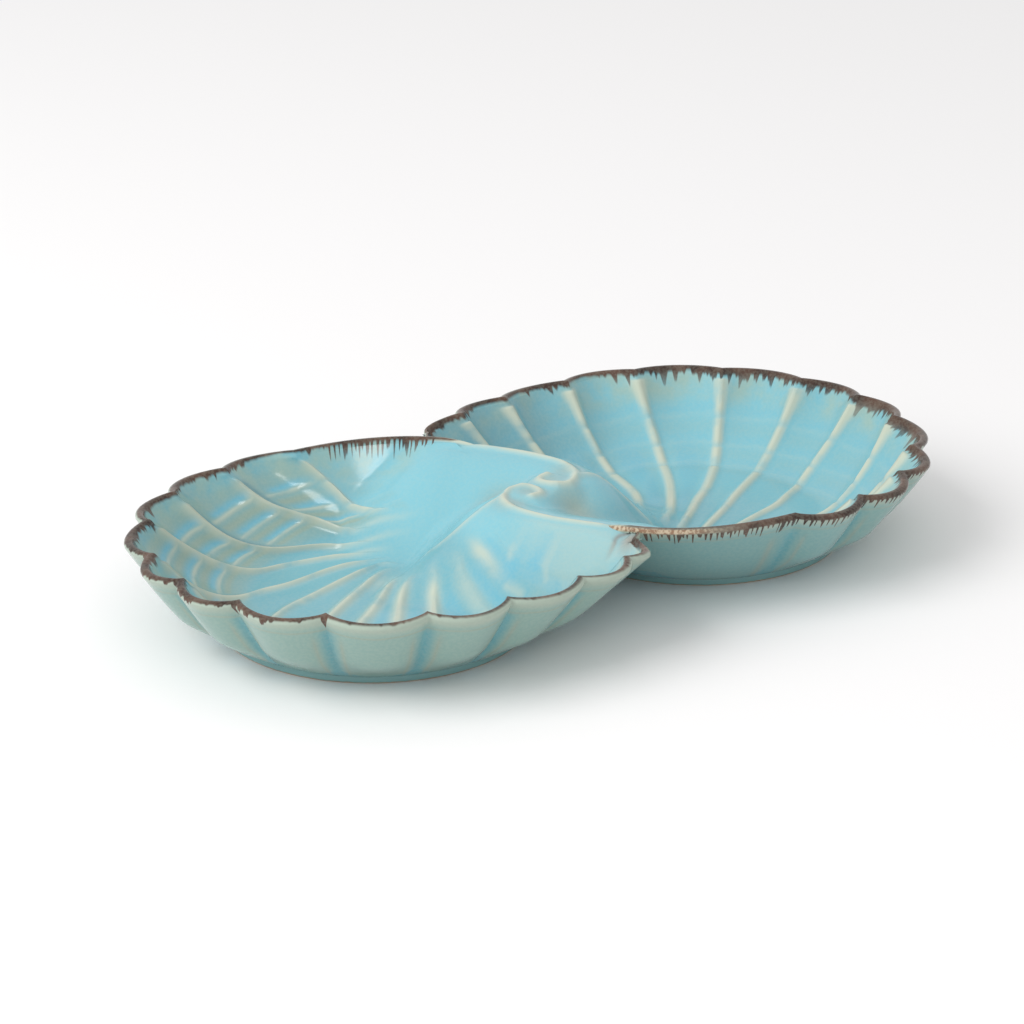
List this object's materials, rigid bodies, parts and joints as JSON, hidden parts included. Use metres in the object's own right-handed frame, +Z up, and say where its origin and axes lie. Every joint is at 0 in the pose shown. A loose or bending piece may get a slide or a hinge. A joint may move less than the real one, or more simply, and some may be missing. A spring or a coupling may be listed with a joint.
{
  "type": "shell-shaped serving dish",
  "caption": "Glazed stoneware serving dish of joined scallop-shell bowls set in a half turn, with a scroll divider, fluted walls, a scalloped lip and low foot rings.",
  "frame": {"origin": "on the table, under the middle of the dish, which is the centre of its half-turn symmetry", "axes": "+X along the length through both bowls' centres, the near bowl of the picture at -X; +Z up; +Y across the dish"},
  "size_m": [0.3152, 0.173, 0.0361],
  "materials": {
    "left_shell": "glossy turquoise glaze, cream where it thins on the ribs",
    "right_shell": "glossy turquoise glaze, cream where it thins on the ribs",
    "scroll_divider": "glossy pale turquoise glaze, cream on the ridges",
    "left_rim_band": "brown iron glaze that runs into the blue",
    "right_rim_band": "brown iron glaze that runs into the blue",
    "left_foot_ring": "bare tan clay, matte",
    "right_foot_ring": "bare tan clay, matte"
  },
  "bodies": {
    "root": {"left_shell": "left_shell", "left_rim_band": "left_rim_band", "left_foot_ring": "left_foot_ring", "right_shell": "right_shell", "right_rim_band": "right_rim_band", "right_foot_ring": "right_foot_ring", "scroll_divider": "scroll_divider"}
  },
  "joints": []
}
